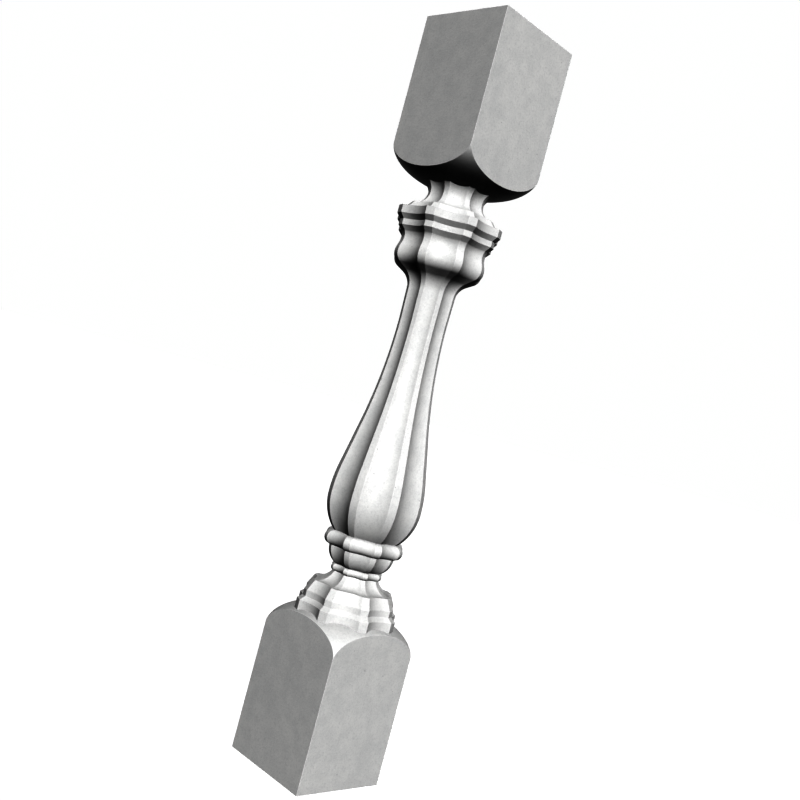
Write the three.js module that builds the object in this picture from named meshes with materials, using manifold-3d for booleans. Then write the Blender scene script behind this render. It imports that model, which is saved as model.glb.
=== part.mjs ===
// A stone baluster, cut from one stone: a square block at each end, and between them a turned shaft
// whose whole profile is fluted. Millimetres, +Z up. The origin is at the middle of the underside, and
// the faces of the blocks look along X and Y.
import * as THREE from 'three';
import { mergeVertices } from 'three/addons/utils/BufferGeometryUtils.js';
import Module from 'manifold-3d';

// End blocks, each the other's mirror image
const blockSide = 140;
const arrisHeight = 170.7; // the square arris, from the outer end to the start of the shoulder
const shoulderRise = 47.5; // from there to the crown of the turned shoulder, on the axis

// Section of the shaft: flutes on the faces' middles and on the diagonals, with flat strips between
const fluteCount = 8;
const stripAngle = 10; // degrees of the section that a strip takes up
const fluteDepth = 0.071; // as a share of the radius, from the line between two strips

// Mouldings of the shaft from the foot up. Each radius is taken at the edges of the strips.
const plinthRadius = 69.2;
const plinthHeight = 13.4; // what stands out of the shoulder
const plinthChamferHeight = 5.4;
const footFilletRadius = 62.8;
const footFilletHeight = 8.2;
const footConeRadius = 54.9; // at its top
const footConeHeight = 14.5;
const footCoveRadius = 31.4; // at its top
const footCoveHeight = 16.3;
const lowBeadRadius = 35.6;
const lowBeadHeight = 9.4;
const bowlFootRadius = 31.2;
const bowlRadius = 45.5;
const bowlHeight = 23.7;
const torusRadius = 55;
const torusHeight = 19.2;

// Belly and sleeve
const bellyFootRadius = 45.3;
const bellyRadius = 65;
const lowerBellyHeight = 47.9;
const upperBellyRadius = 59.8; // where the belly's curve runs out into the taper
const upperBellyHeight = 43.6;
const taperRadius = 50.2; // at its top
const taperHeight = 45.9;
const sleeveHeight = 153.15; // the long hollow curve up to the waist
const waistRadius = 33.2;

// Neck, and the swelling over it
const neckRadius = 34.1; // at its top
const neckHeight = 40.5;
const flareRadius = 46.1;
const flareHeight = 21.7;
const spreadRadius = 55.8;
const spreadHeight = 6;
const swellRadius = 63;
const swellHeight = 13;
const hollowRadius = 59;
const hollowHeight = 20; // from the swelling's widest to the hollow's narrowest
const lipRadius = 61.4;
const lipHeight = 8.1;

// Fillets of the cap, and the weathering over them
const capChamferHeight = 5.9;
const lowFilletRadius = 67;
const lowFilletHeight = 7.8;
const filletChamferHeight = 6.4;
const topFilletRadius = 72.6;
const topFilletHeight = 10.6;
const weatheringRadius = 64.5; // at its foot
const weatheringTopRadius = 56.8;
const weatheringHeight = 9.5;

// Scotia under the upper block
const scotiaRadius = 39.1; // at its narrowest
const scotiaHeight = 18.1; // up to its narrowest
const scotiaTopRadius = 45.5;
const scotiaTopHeight = 14.2;

// Fineness of the facets
const chordError = 0.25; // the most that a facet lies inside its arc
const fluteFacets = 5; // across one flute
const shoulderFacets = 72; // around the axis

const halfDiagonal = blockSide / Math.SQRT2;
const blockHeight = arrisHeight + shoulderRise;

// The turned shoulder is half of a spheroid whose rim touches the block's four arrises.
function shoulderHeightAt(radius) {
  return shoulderRise * Math.sqrt(1 - (radius / halfDiagonal) ** 2);
}

function facetsOf(turn, radius) {
  return Math.ceil(Math.abs(turn) / (2 * Math.acos(1 - chordError / radius)));
}

// A profile is drawn upwards, as points of radius and height.
class Profile {
  constructor(radius, height) {
    this.points = [new THREE.Vector2(radius, height)];
  }

  get end() {
    return this.points.at(-1);
  }

  line(radius, rise) {
    this.points.push(new THREE.Vector2(radius, this.end.y + rise));
  }

  // A circular arc that runs upright or flat where it starts or where it ends.
  arc(radius, rise, place, run) {
    const start = this.end.clone();
    const end = new THREE.Vector2(radius, start.y + rise);
    const [touch, other] = place === 'start' ? [start, end] : [end, start];
    const gap = other.clone().sub(touch);
    const toCentre = run === 'upright' ? new THREE.Vector2(1, 0) : new THREE.Vector2(0, 1);
    const reach = gap.lengthSq() / (2 * gap.dot(toCentre));
    const centre = touch.clone().addScaledVector(toCentre, reach);
    const spoke = start.clone().sub(centre);
    const lastSpoke = end.clone().sub(centre);
    const turn = Math.atan2(spoke.cross(lastSpoke), spoke.dot(lastSpoke));
    const facets = facetsOf(turn, Math.abs(reach));
    const origin = new THREE.Vector2();
    for (let i = 1; i <= facets; i += 1) {
      this.points.push(spoke.clone().rotateAround(origin, (turn * i) / facets).add(centre));
    }
  }

  // Two arcs that turn one into the other halfway up, and are upright at the outer ends.
  ogee(radius, rise) {
    this.arc((this.end.x + radius) / 2, rise / 2, 'start', 'upright');
    this.arc(radius, rise / 2, 'end', 'upright');
  }

  // A round moulding that swells out to its own radius and comes in again to the next one's.
  bead(radius, rise, nextRadius) {
    this.arc(radius, rise / 2, 'end', 'upright');
    this.arc(nextRadius, rise / 2, 'start', 'upright');
  }
}

function shaftProfile() {
  const profile = new Profile(0, arrisHeight);
  profile.line(plinthRadius, 0);
  profile.line(plinthRadius, shoulderHeightAt(plinthRadius) + plinthHeight);
  profile.line(footFilletRadius, plinthChamferHeight);
  profile.line(footFilletRadius, footFilletHeight);
  profile.line(footConeRadius, footConeHeight);
  profile.arc(footCoveRadius, footCoveHeight, 'start', 'flat');
  profile.bead(lowBeadRadius, lowBeadHeight, bowlFootRadius);
  profile.arc(bowlRadius, bowlHeight, 'end', 'upright');
  profile.bead(torusRadius, torusHeight, bellyFootRadius);
  profile.arc(bellyRadius, lowerBellyHeight, 'end', 'upright');
  profile.arc(upperBellyRadius, upperBellyHeight, 'start', 'upright');
  profile.line(taperRadius, taperHeight);
  profile.arc(waistRadius, sleeveHeight, 'end', 'upright');
  profile.line(neckRadius, neckHeight);
  profile.arc(flareRadius, flareHeight, 'start', 'upright');
  profile.line(spreadRadius, spreadHeight);
  profile.arc(swellRadius, swellHeight, 'end', 'upright');
  profile.ogee(hollowRadius, hollowHeight);
  profile.arc(lipRadius, lipHeight, 'start', 'upright');
  profile.line(lowFilletRadius, capChamferHeight);
  profile.line(lowFilletRadius, lowFilletHeight);
  profile.line(topFilletRadius, filletChamferHeight);
  profile.line(topFilletRadius, topFilletHeight);
  profile.line(weatheringRadius, 0);
  profile.line(weatheringTopRadius, weatheringHeight);
  profile.arc(scotiaRadius, scotiaHeight, 'end', 'upright');
  profile.arc(scotiaTopRadius, scotiaTopHeight, 'start', 'upright');
  profile.line(scotiaTopRadius, shoulderHeightAt(scotiaTopRadius));
  profile.line(0, 0);
  return profile;
}

// Half of a block's plan turned about the axis, as wide as the arrises need, with the shoulder on top.
function shoulderProfile() {
  const profile = new Profile(0, 0);
  profile.line(blockSide, 0);
  profile.line(blockSide, arrisHeight);
  profile.line(halfDiagonal, 0);
  const facets = facetsOf(Math.PI / 2, halfDiagonal);
  for (let i = 1; i <= facets; i += 1) {
    const angle = (Math.PI / 2) * (i / facets);
    const radius = i === facets ? 0 : halfDiagonal * Math.cos(angle);
    profile.points.push(new THREE.Vector2(radius, arrisHeight + shoulderRise * Math.sin(angle)));
  }
  return profile;
}

// One column of the section's vertices after another: its angle, and its radius as a share.
function fluteColumns() {
  const pitch = (2 * Math.PI) / fluteCount;
  const half = (pitch - THREE.MathUtils.degToRad(stripAngle)) / 2;
  const halfWidth = Math.sin(half);
  const fluteRadius = (halfWidth ** 2 + fluteDepth ** 2) / (2 * fluteDepth);
  const centre = Math.cos(half) - fluteDepth + fluteRadius;
  const columns = [];
  for (let flute = 0; flute < fluteCount; flute += 1) {
    for (let i = 0; i <= fluteFacets; i += 1) {
      const angle = half * ((2 * i) / fluteFacets - 1);
      const across = centre * Math.sin(angle);
      const share = centre * Math.cos(angle) - Math.sqrt(fluteRadius ** 2 - across ** 2);
      columns.push({ angle: flute * pitch + angle, share });
    }
  }
  return columns;
}

const wasm = await Module();
wasm.setup();

function solidOf(geometry) {
  geometry.deleteAttribute('normal');
  geometry.deleteAttribute('uv');
  const merged = mergeVertices(geometry);
  const corners = merged.index.array;
  const triangles = [];
  for (let i = 0; i < corners.length; i += 3) {
    const [a, b, c] = corners.slice(i, i + 3);
    if (a !== b && b !== c && c !== a) {
      triangles.push(a, b, c);
    }
  }
  return new wasm.Manifold(new wasm.Mesh({
    numProp: 3,
    vertProperties: merged.attributes.position.array,
    triVerts: new Uint32Array(triangles),
  }));
}

function fluted(profile) {
  const columns = fluteColumns();
  const rows = profile.points.length;
  const geometry = new THREE.LatheGeometry(profile.points, columns.length);
  const position = geometry.attributes.position;
  for (let i = 0; i < position.count; i += 1) {
    const column = columns[Math.floor(i / rows) % columns.length];
    const point = profile.points[i % rows];
    const radius = point.x * column.share;
    position.setXYZ(i, radius * Math.cos(column.angle), radius * Math.sin(column.angle), point.y);
  }
  return solidOf(geometry);
}

function lowerBlock() {
  const turned = new THREE.LatheGeometry(shoulderProfile().points, shoulderFacets);
  turned.rotateX(Math.PI / 2);
  turned.rotateZ(Math.PI / 4);
  const square = new THREE.BoxGeometry(blockSide, blockSide, blockHeight);
  square.translate(0, 0, blockHeight / 2);
  return solidOf(turned).intersect(solidOf(square));
}

function baluster() {
  const profile = shaftProfile();
  const height = profile.end.y + arrisHeight;
  const lower = lowerBlock();
  const upper = lower.rotate([180, 0, 0]).translate([0, 0, height]);
  const { vertProperties, triVerts } = lower.add(fluted(profile)).add(upper).getMesh();
  const geometry = new THREE.BufferGeometry();
  geometry.setAttribute('position', new THREE.BufferAttribute(vertProperties, 3));
  geometry.setIndex(new THREE.BufferAttribute(triVerts, 1));
  return geometry;
}

const stone = new THREE.MeshStandardMaterial({ color: 0xcfcfcd, roughness: 0.85, metalness: 0 });
const mesh = new THREE.Mesh(baluster(), stone);
mesh.name = 'baluster';
const part = new THREE.Group();
part.add(mesh);

export default part;
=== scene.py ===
# A stone baluster: square blocks at both ends, and a turned and fluted shaft between them, all in one
# stone. Sizes are in millimetres until the finished mesh is scaled to metres.
import math

import bmesh
import bpy
from mathutils import Matrix, Vector


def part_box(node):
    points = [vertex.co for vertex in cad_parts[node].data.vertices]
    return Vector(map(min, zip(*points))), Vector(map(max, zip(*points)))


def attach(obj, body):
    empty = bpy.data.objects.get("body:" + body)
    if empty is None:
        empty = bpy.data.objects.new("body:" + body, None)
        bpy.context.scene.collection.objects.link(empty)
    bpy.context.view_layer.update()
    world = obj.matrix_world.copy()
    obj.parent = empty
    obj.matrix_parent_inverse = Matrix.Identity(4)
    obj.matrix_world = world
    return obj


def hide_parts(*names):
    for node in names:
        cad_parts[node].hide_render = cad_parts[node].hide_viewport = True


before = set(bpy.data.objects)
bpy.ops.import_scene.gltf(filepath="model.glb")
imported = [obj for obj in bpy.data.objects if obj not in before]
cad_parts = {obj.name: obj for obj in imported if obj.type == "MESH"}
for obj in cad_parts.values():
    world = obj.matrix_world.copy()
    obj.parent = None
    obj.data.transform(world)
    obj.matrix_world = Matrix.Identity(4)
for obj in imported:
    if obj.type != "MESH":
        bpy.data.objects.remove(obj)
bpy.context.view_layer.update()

# Overall sizes, from the frame
mm = 0.001
block_low, block_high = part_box("baluster")
block_side = (block_high.x - block_low.x) / mm
height = (block_high.z - block_low.z) / mm
half_side = block_side / 2
half_diagonal = half_side * math.sqrt(2)

# End blocks
arris_height = 170.7
shoulder_rise = 47.5

# Section of the shaft
flute_count = 8
strip_angle = math.radians(10)
flute_depth = 0.071  # as a share of the radius

# Mouldings, from the foot up. Radii are at the edges of the strips.
plinth_radius = 69.2
plinth_height = 13.4
plinth_chamfer_height = 5.4
foot_fillet_radius = 62.8
foot_fillet_height = 8.2
foot_cone_radius = 54.9
foot_cone_height = 14.5
foot_cove_radius = 31.4
foot_cove_height = 16.3
low_bead_radius = 35.6
low_bead_height = 9.4
bowl_foot_radius = 31.2
bowl_radius = 45.5
bowl_height = 23.7
torus_radius = 55
torus_height = 19.2
belly_foot_radius = 45.3
belly_radius = 65
lower_belly_height = 47.9
upper_belly_radius = 59.8
upper_belly_height = 43.6
taper_radius = 50.2
taper_height = 45.9
sleeve_height = 153.15
waist_radius = 33.2
neck_radius = 34.1
neck_height = 40.5
flare_radius = 46.1
flare_height = 21.7
spread_radius = 55.8
spread_height = 6
swell_radius = 63
swell_height = 13
hollow_radius = 59
hollow_height = 20
lip_radius = 61.4
lip_height = 8.1
cap_chamfer_height = 5.9
low_fillet_radius = 67
low_fillet_height = 7.8
fillet_chamfer_height = 6.4
top_fillet_radius = 72.6
top_fillet_height = 10.6
weathering_radius = 64.5
weathering_top_radius = 56.8
weathering_height = 9.5
scotia_radius = 39.1
scotia_height = 18.1
scotia_top_radius = 45.5

# Softness of the worked edges
edge_cut = 0.35  # how far a rubbed edge is taken back on the mouldings
arris_cut = 0.007  # the same on the flutes' arrises, as a share of the radius
longest_cut = 0.4  # the most that is taken back, as a share of the side next to the edge
block_edge = 0.4  # radius of the blocks' rubbed edges
block_edge_turns = (math.pi / 8, math.pi / 4, math.pi * 3 / 8)  # where these edges have their points
corner_pull = math.sqrt(2)  # draws the middle of a rubbed corner onto a round
crease_angle = math.radians(14)  # an outline that bends by less has no corner there
sharp_angle = math.radians(30)  # faces that meet at less are shaded as one surface

# Fineness of the mesh
chord_error = 0.012  # the most that a facet of the profile lies inside its arc
flute_steps = 6  # facets on half a flute
face_steps = 16  # facets on half a block's face
shoulder_steps = 14
scotia_steps = 14
scotia_rounds = 8  # tries at where the scotia's curve meets the shoulder
bed_steps = 4
block_courses = 8
merge_gap = 1e-4
quarter_columns = 2 * (2 * flute_steps + 6)  # two flutes, and two strips with their rubbed arrises
columns = 4 * quarter_columns


def dome_height(radius):
    """Height of the turned shoulder over the end of its block."""
    reach = min(1.0, radius / half_diagonal)
    return arris_height + shoulder_rise * math.sqrt(1 - reach * reach)


def rounded(start, corner, end):
    """The middle of a small round from start to end that stands in for a corner."""
    return (start + corner_pull * corner + end) / (2 + corner_pull)


def soften(points, cut):
    """Takes back each corner of an outline, and puts a short curve of three points there."""
    soft = [points[0]]
    for before, corner, after in zip(points, points[1:], points[2:]):
        back = before - corner
        ahead = after - corner
        if math.pi - back.angle(ahead) < crease_angle:
            soft.append(corner)
            continue
        start = corner + back.normalized() * min(cut, back.length * longest_cut)
        end = corner + ahead.normalized() * min(cut, ahead.length * longest_cut)
        soft += [start, rounded(start, corner, end), end]
    return soft + [points[-1]]


class Profile:
    """An outline drawn upwards, as points of radius and height."""

    def __init__(self, radius, level):
        self.points = [Vector((radius, level))]

    @property
    def end(self):
        return self.points[-1]

    def line(self, radius, rise):
        self.points.append(Vector((radius, self.end.y + rise)))

    def arc(self, radius, rise, place, run):
        """A circular arc that runs upright or flat where it starts or where it ends."""
        start = self.end.copy()
        end = Vector((radius, start.y + rise))
        touch, other = (start, end) if place == "start" else (end, start)
        gap = other - touch
        to_centre = Vector((1, 0)) if run == "upright" else Vector((0, 1))
        reach = gap.length_squared / (2 * gap.dot(to_centre))
        centre = touch + to_centre * reach
        spoke = start - centre
        turn = spoke.angle_signed(end - centre)
        step = 2 * math.acos(1 - chord_error / abs(reach))
        facets = math.ceil(abs(turn) / step)
        for i in range(1, facets + 1):
            self.points.append(centre + Matrix.Rotation(-turn * i / facets, 2) @ spoke)

    def ogee(self, radius, rise):
        """Two arcs that turn one into the other halfway up, and are upright at the outer ends."""
        self.arc((self.end.x + radius) / 2, rise / 2, "start", "upright")
        self.arc(radius, rise / 2, "end", "upright")

    def bead(self, radius, rise, next_radius):
        """A round moulding that swells out to its own radius and comes in again to the next one's."""
        self.arc(radius, rise / 2, "end", "upright")
        self.arc(next_radius, rise / 2, "start", "upright")


def shaft_profile():
    """The shaft's outline from the lower shoulder to the scotia's narrowest place."""
    profile = Profile(plinth_radius, dome_height(plinth_radius))
    profile.line(plinth_radius, plinth_height)
    profile.line(foot_fillet_radius, plinth_chamfer_height)
    profile.line(foot_fillet_radius, foot_fillet_height)
    profile.line(foot_cone_radius, foot_cone_height)
    profile.arc(foot_cove_radius, foot_cove_height, "start", "flat")
    profile.bead(low_bead_radius, low_bead_height, bowl_foot_radius)
    profile.arc(bowl_radius, bowl_height, "end", "upright")
    profile.bead(torus_radius, torus_height, belly_foot_radius)
    profile.arc(belly_radius, lower_belly_height, "end", "upright")
    profile.arc(upper_belly_radius, upper_belly_height, "start", "upright")
    profile.line(taper_radius, taper_height)
    profile.arc(waist_radius, sleeve_height, "end", "upright")
    profile.line(neck_radius, neck_height)
    profile.arc(flare_radius, flare_height, "start", "upright")
    profile.line(spread_radius, spread_height)
    profile.arc(swell_radius, swell_height, "end", "upright")
    profile.ogee(hollow_radius, hollow_height)
    profile.arc(lip_radius, lip_height, "start", "upright")
    profile.line(low_fillet_radius, cap_chamfer_height)
    profile.line(low_fillet_radius, low_fillet_height)
    profile.line(top_fillet_radius, fillet_chamfer_height)
    profile.line(top_fillet_radius, top_fillet_height)
    profile.line(weathering_radius, 0)
    profile.line(weathering_top_radius, weathering_height)
    profile.arc(scotia_radius, scotia_height, "end", "upright")
    return profile


def fluted_section():
    """The shaft's section at a radius of one, a quarter from the middle of a face on."""
    pitch = 2 * math.pi / flute_count
    half = (pitch - strip_angle) / 2
    width = math.sin(half)
    flute_radius = (width**2 + flute_depth**2) / (2 * flute_depth)
    centre = math.cos(half) - flute_depth + flute_radius
    flute_turn = math.asin(width / flute_radius)
    outline = []
    for flute in range(-1, 4):  # more than the quarter, because the ends of an outline aren't softened
        turned = Matrix.Rotation(pitch * flute, 2)
        for i in range(-flute_steps, flute_steps + 1):
            angle = flute_turn * i / flute_steps
            hollow = Vector((centre - flute_radius * math.cos(angle), flute_radius * math.sin(angle)))
            outline.append(turned @ hollow)
        strip = pitch * (flute + 0.5)
        outline.append(Vector((math.cos(strip), math.sin(strip))) * math.cos(strip_angle / 2))
    outline = soften(outline, arris_cut)
    turns = [abs(math.atan2(point.y, point.x)) for point in outline]
    first = turns.index(min(turns))
    return outline[first:first + quarter_columns]


def square_section():
    """The blocks' section in millimetres, a quarter from the middle of a face on."""
    straight = half_side - block_edge
    face = [straight * math.sin(math.pi / 2 * i / face_steps) for i in range(face_steps + 1)]
    outline = [Vector((half_side, y)) for y in face]
    for angle in block_edge_turns:
        corner = Vector((math.cos(angle), math.sin(angle))) * block_edge
        outline.append(corner + Vector((straight, straight)))
    outline += [Vector((y, half_side)) for y in reversed(face)]
    return outline[:quarter_columns]


def upper_scotia(share, low_level):
    """The scotia's last curve up to the upper shoulder, on a column at that share of the radius."""
    gap = scotia_top_radius - scotia_radius
    rise = height - dome_height(scotia_top_radius) - low_level
    reach = (gap * gap + rise * rise) / (2 * gap)
    for _ in range(scotia_rounds):
        radius = scotia_radius + reach - math.sqrt(reach * reach - rise * rise)
        rise = height - dome_height(radius * share) - low_level
    turn = math.asin(rise / reach)
    curve = []
    for i in range(1, scotia_steps + 1):
        angle = turn * i / scotia_steps
        radius = scotia_radius + reach * (1 - math.cos(angle))
        curve.append((radius, low_level + reach * math.sin(angle)))
    return curve


def block_column(square, foot):
    """One column of the lower block, from the middle of its bed to the foot of the shaft."""
    inset = square * (1 - block_edge / half_side)
    points = [(inset * i / bed_steps, 0) for i in range(bed_steps + 1)]
    for angle in (*block_edge_turns, math.pi / 2):
        points.append((inset.lerp(square, math.sin(angle)), block_edge * (1 - math.cos(angle))))
    rim = Vector((square.length, dome_height(square.length)))
    below = rim - Vector((0, block_edge))
    inside = Vector((rim.x - block_edge, dome_height(rim.x - block_edge)))
    for i in range(1, block_courses + 1):
        points.append((square, block_edge + (below.y - block_edge) * i / block_courses))
    middle = rounded(below, rim, inside)
    points.append((square * (middle.x / rim.x), middle.y))
    inner = square * (inside.x / rim.x)
    for i in range(shoulder_steps + 1):  # closest together at the rim
        plan = inner.lerp(foot, (i / shoulder_steps) ** 2)
        points.append((plan, dome_height(plan.length)))
    return points


def baluster_columns():
    """All points of the stone's surface: columns from the lower bed's middle to the upper one's."""
    outline = soften(shaft_profile().points, edge_cut)
    quarter = []
    for square, flute in zip(square_section(), fluted_section()):
        column = block_column(square, flute * outline[0].x)
        column += [(flute * point.x, point.y) for point in outline[1:]]
        scotia = upper_scotia(flute.length, outline[-1].y)
        column += [(flute * radius, level) for radius, level in scotia]
        upper = block_column(square, flute * scotia[-1][0])
        column += [(plan, height - level) for plan, level in reversed(upper[:-1])]
        quarter.append([Vector((plan.x, plan.y, level)) for plan, level in column])
    turned = []
    for side in range(4):
        quarter_turn = Matrix.Rotation(math.pi / 2 * side, 3, "Z")
        turned += [[quarter_turn @ point for point in column] for column in quarter]
    return turned


def make_baluster(material):
    """The stone, spun from its first column and then drawn to the sections of blocks and flutes."""
    placed = baluster_columns()
    stone = bmesh.new()
    ring_of = stone.verts.layers.int.new("ring")
    chain = []
    for ring, point in enumerate(placed[0]):
        vertex = stone.verts.new(point)
        vertex[ring_of] = ring
        chain.append(vertex)
    edges = [stone.edges.new(pair) for pair in zip(chain, chain[1:])]
    bmesh.ops.spin(
        stone, geom=chain + edges, cent=(0, 0, 0), axis=(0, 0, 1), angle=2 * math.pi, steps=columns,
        use_merge=True,
    )
    for vertex in stone.verts:
        turn = math.atan2(vertex.co.y, vertex.co.x) / (2 * math.pi)
        vertex.co = placed[round(turn * columns) % columns][vertex[ring_of]]
    bmesh.ops.remove_doubles(stone, verts=stone.verts, dist=merge_gap)
    bmesh.ops.recalc_face_normals(stone, faces=stone.faces)
    stone.verts.layers.int.remove(stone.verts.layers.int["ring"])
    for face in stone.faces:
        face.smooth = True
    for edge in stone.edges:
        edge.smooth = edge.calc_face_angle() < sharp_angle
    bmesh.ops.scale(stone, vec=(mm, mm, mm), verts=stone.verts)
    mesh = bpy.data.meshes.new("baluster_stone")
    stone.to_mesh(mesh)
    stone.free()
    mesh.materials.append(material)
    piece = bpy.data.objects.new("baluster_stone", mesh)
    bpy.context.collection.objects.link(piece)
    shading = piece.modifiers.new("shading", "WEIGHTED_NORMAL")
    shading.keep_sharp = True
    return piece


def new_material(name):
    material = bpy.data.materials.new(name)
    material.use_nodes = True
    return material, material.node_tree


def feed(tree, socket, value):
    """Links a socket to another one, or sets it to a plain value."""
    if isinstance(value, bpy.types.NodeSocket):
        tree.links.new(value, socket)
    else:
        socket.default_value = value


def add_node(tree, kind, settings, inputs):
    node = tree.nodes.new("ShaderNode" + kind)
    for name, value in settings.items():
        setattr(node, name, value)
    for name, value in inputs.items():
        feed(tree, node.inputs[name], value)
    return node


def calculate(tree, operation, *values):
    node = add_node(tree, "Math", {"operation": operation}, {})
    for socket, value in zip(node.inputs, values):
        feed(tree, socket, value)
    return node.outputs["Value"]


def spread(tree, value, low, high, to_low, to_high, steps="LINEAR"):
    """Stretches values between low and high over another range."""
    inputs = {"Value": value, "From Min": low, "From Max": high, "To Min": to_low, "To Max": to_high}
    return add_node(tree, "MapRange", {"interpolation_type": steps}, inputs).outputs["Result"]


def noise(tree, place, size, detail, roughness):
    """Soft noise from 0 to 1, whose largest lumps are about as wide as size."""
    scale = calculate(tree, "DIVIDE", 1, size)
    inputs = {"Vector": place, "Scale": scale, "Detail": detail, "Roughness": roughness}
    return add_node(tree, "TexNoise", {}, inputs).outputs["Fac"]


def new_group(name, inputs, outputs):
    """A node group with vector or number inputs, and number outputs."""
    tree = bpy.data.node_groups.new(name, "ShaderNodeTree")
    for socket, value in inputs.items():
        kind = "NodeSocketVector" if value is None else "NodeSocketFloat"
        made = tree.interface.new_socket(socket, in_out="INPUT", socket_type=kind)
        if value is not None:
            made.default_value = value
    for socket in outputs:
        tree.interface.new_socket(socket, in_out="OUTPUT", socket_type="NodeSocketFloat")
    return tree, tree.nodes.new("NodeGroupInput").outputs, tree.nodes.new("NodeGroupOutput").inputs


# The stone's patterns, with their widths in metres
bed_size = 0.11
patch_size = 0.016
patch_weight = 0.6  # the rest is the beds'
fleck_size = 0.0035
fleck_tones = (0.55, 1)  # tones of the mottling from which flecks come up, and at which they are full
grain_size = 0.0011
crystal_tones = (0.25, 0.8)  # the same for the pale crystals, by tones of the grain
pore_spacing = 0.009
pore_width = 0.0016
pore_free = 0.45  # the share of the places for a pore that have none
pore_raggedness = 0.4  # the share by which a pore's radius goes up and down around it
pore_rim = (0.7, 1.2)  # where a pore's edge begins and ends, as shares of its radius
least_radius = 1e-4  # of a pore, so that nothing is divided by zero
edge_wear_and_highlight_bends = (0.53, 0.6)  # how far the surface bends outwards where the paler rubbing and the painted highlight on edges begin, and are full

# The stone's colours. The upper four lie over the beds, and each covers them by its share at most.
dark_bed = (0.588, 0.589, 0.588, 1)
pale_bed = (0.655, 0.653, 0.648, 1)
fleck_colour, fleck_cover = (0.52, 0.521, 0.522, 1), 0.35
crystal_colour, crystal_cover = (0.74, 0.74, 0.735, 1), 0.3
pore_colour, pore_cover = (0.25, 0.25, 0.248, 1), 0.45
# Convex edges are lightened towards this colour: paler rubbed stone, and a painted highlight along the
# edges
rubbed_edge_and_highlight_colour, rubbed_edge_and_highlight_cover = (0.72, 0.72, 0.715, 1), 0.06

# The stone's finish
finish_tones = (0.2, 0.8)  # tones of the grain between which the roughness goes from dull to bright
dull, bright = 0.78, 0.56
fleck_relief = 0.35
grain_relief = 0.3
pore_relief = 1.6
relief_strength = 0.35
relief_depth = 0.0003


def mottle_group():
    """Clouds of a slightly lighter and darker stone, as tone around a half."""
    tree, given, result = new_group("stone_mottle", {"Place": None, "Size": patch_size}, ["Tone"])
    clouds = noise(tree, given["Place"], given["Size"], detail=4, roughness=0.55)
    feed(tree, result["Tone"], spread(tree, clouds, 0.3, 0.7, 0, 1, "SMOOTHSTEP"))
    return tree


def grain_group():
    """The fine grain: crystals of differing tone, and the roughness that rubbing leaves."""
    inputs = {"Place": None, "Size": grain_size}
    tree, given, result = new_group("stone_grain", inputs, ["Tone", "Height"])
    scale = calculate(tree, "DIVIDE", 1, given["Size"])
    crystals = add_node(tree, "TexVoronoi", {}, {"Vector": given["Place"], "Scale": scale})
    tones = add_node(tree, "SeparateColor", {}, {"Color": crystals.outputs["Color"]}).outputs["Red"]
    rubbed = noise(tree, given["Place"], given["Size"], detail=3, roughness=0.6)
    half_rubbed = calculate(tree, "MULTIPLY", rubbed, 0.5)
    feed(tree, result["Tone"], calculate(tree, "MULTIPLY_ADD", tones, 0.5, half_rubbed))
    feed(tree, result["Height"], calculate(tree, "SUBTRACT", rubbed, crystals.outputs["Distance"]))
    return tree


def pore_group():
    """Scattered small pores with ragged rims: a mask that is 1 in a pore."""
    inputs = {"Place": None, "Spacing": pore_spacing, "Width": pore_width}
    tree, given, result = new_group("stone_pores", inputs, ["Mask"])
    scale = calculate(tree, "DIVIDE", 1, given["Spacing"])
    wobble = noise(tree, given["Place"], given["Width"], detail=2, roughness=0.5)
    cells = add_node(tree, "TexVoronoi", {}, {"Vector": given["Place"], "Scale": scale})
    chance = add_node(tree, "SeparateColor", {}, {"Color": cells.outputs["Color"]}).outputs["Green"]
    relative_width = calculate(tree, "DIVIDE", given["Width"], given["Spacing"])
    largest = calculate(tree, "MULTIPLY", relative_width, 0.5)
    own = calculate(tree, "MULTIPLY", largest, spread(tree, chance, pore_free, 1, 0, 1))
    swing = spread(tree, wobble, 0.3, 0.7, 1 - pore_raggedness, 1 + pore_raggedness)
    ragged = calculate(tree, "ADD", calculate(tree, "MULTIPLY", own, swing), least_radius)
    rim = calculate(tree, "DIVIDE", cells.outputs["Distance"], ragged)
    feed(tree, result["Mask"], spread(tree, rim, *pore_rim, 1, 0, "SMOOTHSTEP"))
    return tree


def use_group(tree, group, inputs):
    node = tree.nodes.new("ShaderNodeGroup")
    node.node_tree = group
    for name, value in inputs.items():
        feed(tree, node.inputs[name], value)
    return node.outputs


def blend_colour(tree, share, first, second):
    node = add_node(tree, "Mix", {"data_type": "RGBA"}, {"Factor": share})
    colour_inputs = [socket for socket in node.inputs if socket.type == "RGBA"]
    feed(tree, colour_inputs[0], first)
    feed(tree, colour_inputs[1], second)
    return next(socket for socket in node.outputs if socket.type == "RGBA")


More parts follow.
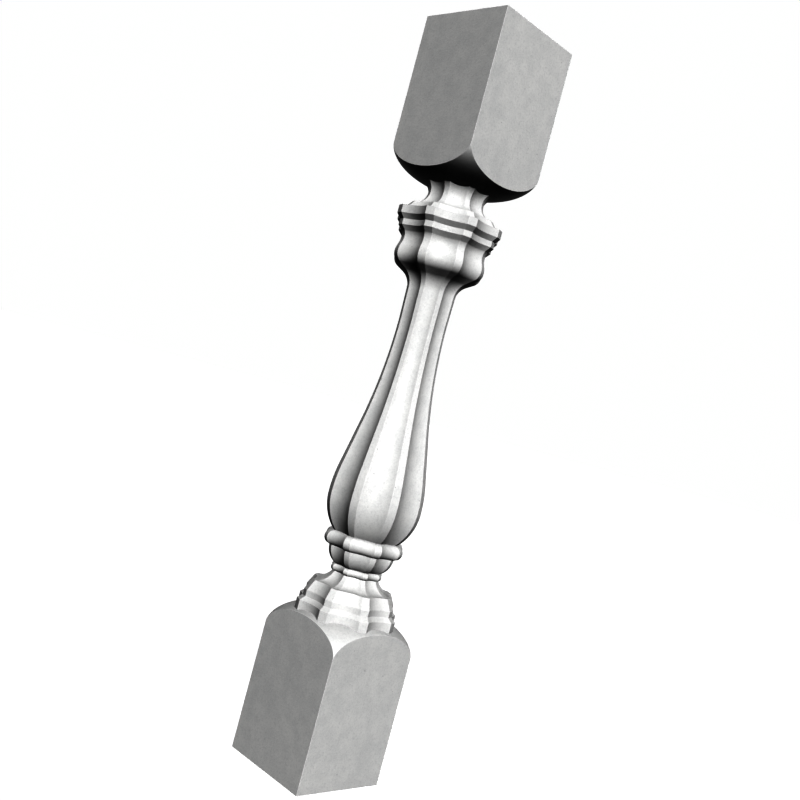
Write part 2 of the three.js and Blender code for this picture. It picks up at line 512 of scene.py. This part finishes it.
def stone_material():
    """Beds and patches, and over them flecks, pale crystals, pores, and on convex edges paler rubbed
    stone with a painted highlight.
    """
    material, tree = new_material("rubbed_stone")
    shader = tree.nodes["Principled BSDF"]
    place = tree.nodes.new("ShaderNodeTexCoord").outputs["Object"]
    mottle, grain, pores = mottle_group(), grain_group(), pore_group()
    beds = use_group(tree, mottle, {"Place": place, "Size": bed_size})["Tone"]
    patches = use_group(tree, mottle, {"Place": place, "Size": patch_size})["Tone"]
    flecks = use_group(tree, mottle, {"Place": place, "Size": fleck_size})["Tone"]
    fine = use_group(tree, grain, {"Place": place, "Size": grain_size})
    pore_inputs = {"Place": place, "Spacing": pore_spacing, "Width": pore_width}
    holes = use_group(tree, pores, pore_inputs)["Mask"]

    patch_tone = calculate(tree, "MULTIPLY", patches, patch_weight)
    drift = calculate(tree, "MULTIPLY_ADD", beds, 1 - patch_weight, patch_tone)
    body = blend_colour(tree, drift, dark_bed, pale_bed)
    fleck_share = spread(tree, flecks, *fleck_tones, 0, fleck_cover)
    flecked = blend_colour(tree, fleck_share, body, fleck_colour)
    crystal_share = spread(tree, fine["Tone"], *crystal_tones, 0, crystal_cover)
    grained = blend_colour(tree, crystal_share, flecked, crystal_colour)
    pore_share = calculate(tree, "MULTIPLY", holes, pore_cover)
    holed = blend_colour(tree, pore_share, grained, pore_colour)
    # Convex edges lightened: paler rubbed stone, and a painted highlight along them
    convex = tree.nodes.new("ShaderNodeNewGeometry").outputs["Pointiness"]
    edge_wear_and_highlight_share = spread(tree, convex, *edge_wear_and_highlight_bends, 0, rubbed_edge_and_highlight_cover, "SMOOTHSTEP")
    feed(tree, shader.inputs["Base Color"], blend_colour(tree, edge_wear_and_highlight_share, holed, rubbed_edge_and_highlight_colour))

    feed(tree, shader.inputs["Roughness"], spread(tree, fine["Tone"], *finish_tones, dull, bright))
    grain_height = calculate(tree, "MULTIPLY", fine["Height"], grain_relief)
    relief = calculate(tree, "MULTIPLY_ADD", flecks, fleck_relief, grain_height)
    pitted = calculate(tree, "SUBTRACT", relief, calculate(tree, "MULTIPLY", holes, pore_relief))
    bump = {"Strength": relief_strength, "Distance": relief_depth, "Height": pitted}
    feed(tree, shader.inputs["Normal"], add_node(tree, "Bump", {}, bump).outputs["Normal"])
    return material


# The floor, a wide pale disc
floor_radius = 30
floor_facets = 96
floor_colour = (0.4, 0.4, 0.4, 1)
floor_glow = 0.72  # lifts it to the white behind it
white = (1, 1, 1, 1)


def floor_material():
    material, tree = new_material("pale_floor")
    shader = tree.nodes["Principled BSDF"]
    shader.inputs["Base Color"].default_value = floor_colour
    shader.inputs["Roughness"].default_value = 1
    shader.inputs["Specular IOR Level"].default_value = 0
    shader.inputs["Emission Color"].default_value = white
    shader.inputs["Emission Strength"].default_value = floor_glow
    return material


def make_floor():
    floor = bmesh.new()
    bmesh.ops.create_circle(floor, cap_ends=True, segments=floor_facets, radius=floor_radius)
    mesh = bpy.data.meshes.new("floor")
    floor.to_mesh(mesh)
    floor.free()
    mesh.materials.append(floor_material())
    piece = bpy.data.objects.new("floor", mesh)
    bpy.context.collection.objects.link(piece)
    piece.visible_diffuse = False
    piece.visible_glossy = False
    return piece


# The view: along the blocks' diagonal, level with the middle, and rolled
view_angle = math.radians(45)
view_distance = 1277.4
view_offset = 2.83  # the axis stands this far to the right of the picture's middle
view_roll = math.radians(15)
toward_view = Vector((1, -1, 0)).normalized()
to_right = Vector((1, 1, 0)).normalized()

# Light, by degrees to the right of the view and over the horizon
key_azimuth = 8
key_elevation = 28
key_strength = 0.5
even_key_strength = 4.76
rear_azimuth = 156
rear_elevation = 2
rear_strength = 2.7
sun_width = 24  # degrees across
fill_strength = 0.012
view_gamma = 0.9


def direction(azimuth, elevation):
    """A direction by its degrees to the right of the view and over the horizon."""
    turn, lift = math.radians(azimuth), math.radians(elevation)
    level = toward_view * math.cos(turn) + to_right * math.sin(turn)
    return level * math.cos(lift) + Vector((0, 0, math.sin(lift)))


def make_camera():
    data = bpy.data.cameras.new("camera")
    data.angle = view_angle
    camera = bpy.data.objects.new("camera", data)
    bpy.context.collection.objects.link(camera)
    place = (toward_view * view_distance - to_right * view_offset) * mm
    place.z = height * mm / 2
    facing = (-toward_view).to_track_quat("-Z", "Y").to_matrix().to_4x4()
    camera.matrix_world = Matrix.Translation(place) @ facing @ Matrix.Rotation(view_roll, 4, "Z")
    bpy.context.scene.camera = camera


def make_sun(name, azimuth, elevation, strength):
    data = bpy.data.lights.new(name, "SUN")
    data.energy = strength
    data.angle = math.radians(sun_width)
    sun = bpy.data.objects.new(name, data)
    bpy.context.collection.objects.link(sun)
    sun.rotation_mode = "QUATERNION"
    sun.rotation_quaternion = direction(azimuth, elevation).to_track_quat("Z", "Y")
    return sun


def make_even_sun(name, azimuth, elevation, strength):
    """A sun that throws no shadow, and whose light isn't thrown back by what it falls on."""
    sun = make_sun(name, azimuth, elevation, strength)
    sun.data.use_shadow = False
    sun.data.cycles.max_bounces = 0
    return sun


def make_world():
    """White behind the object, and a faint even light on it."""
    world = bpy.data.worlds.new("studio")
    world.use_nodes = True
    nodes, links = world.node_tree.nodes, world.node_tree.links
    background = nodes["Background"]
    path = nodes.new("ShaderNodeLightPath")
    level = nodes.new("ShaderNodeMapRange")
    level.inputs["To Min"].default_value = fill_strength
    level.inputs["To Max"].default_value = 1
    links.new(path.outputs["Is Camera Ray"], level.inputs["Value"])
    links.new(level.outputs["Result"], background.inputs["Strength"])
    background.inputs["Color"].default_value = white
    bpy.context.scene.world = world


make_camera()
make_world()
make_sun("key", key_azimuth, key_elevation, key_strength)
make_even_sun("key_even", key_azimuth, key_elevation, even_key_strength)
for name, azimuth in (("rear_left", -rear_azimuth), ("rear_right", rear_azimuth)):
    rear = make_even_sun(name, azimuth, rear_elevation, rear_strength)
    rear.visible_glossy = False
bpy.context.scene.view_settings.view_transform = "Raw"
bpy.context.scene.view_settings.gamma = view_gamma

floor = make_floor()
baluster = make_baluster(stone_material())
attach(baluster, "root")
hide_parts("baluster")
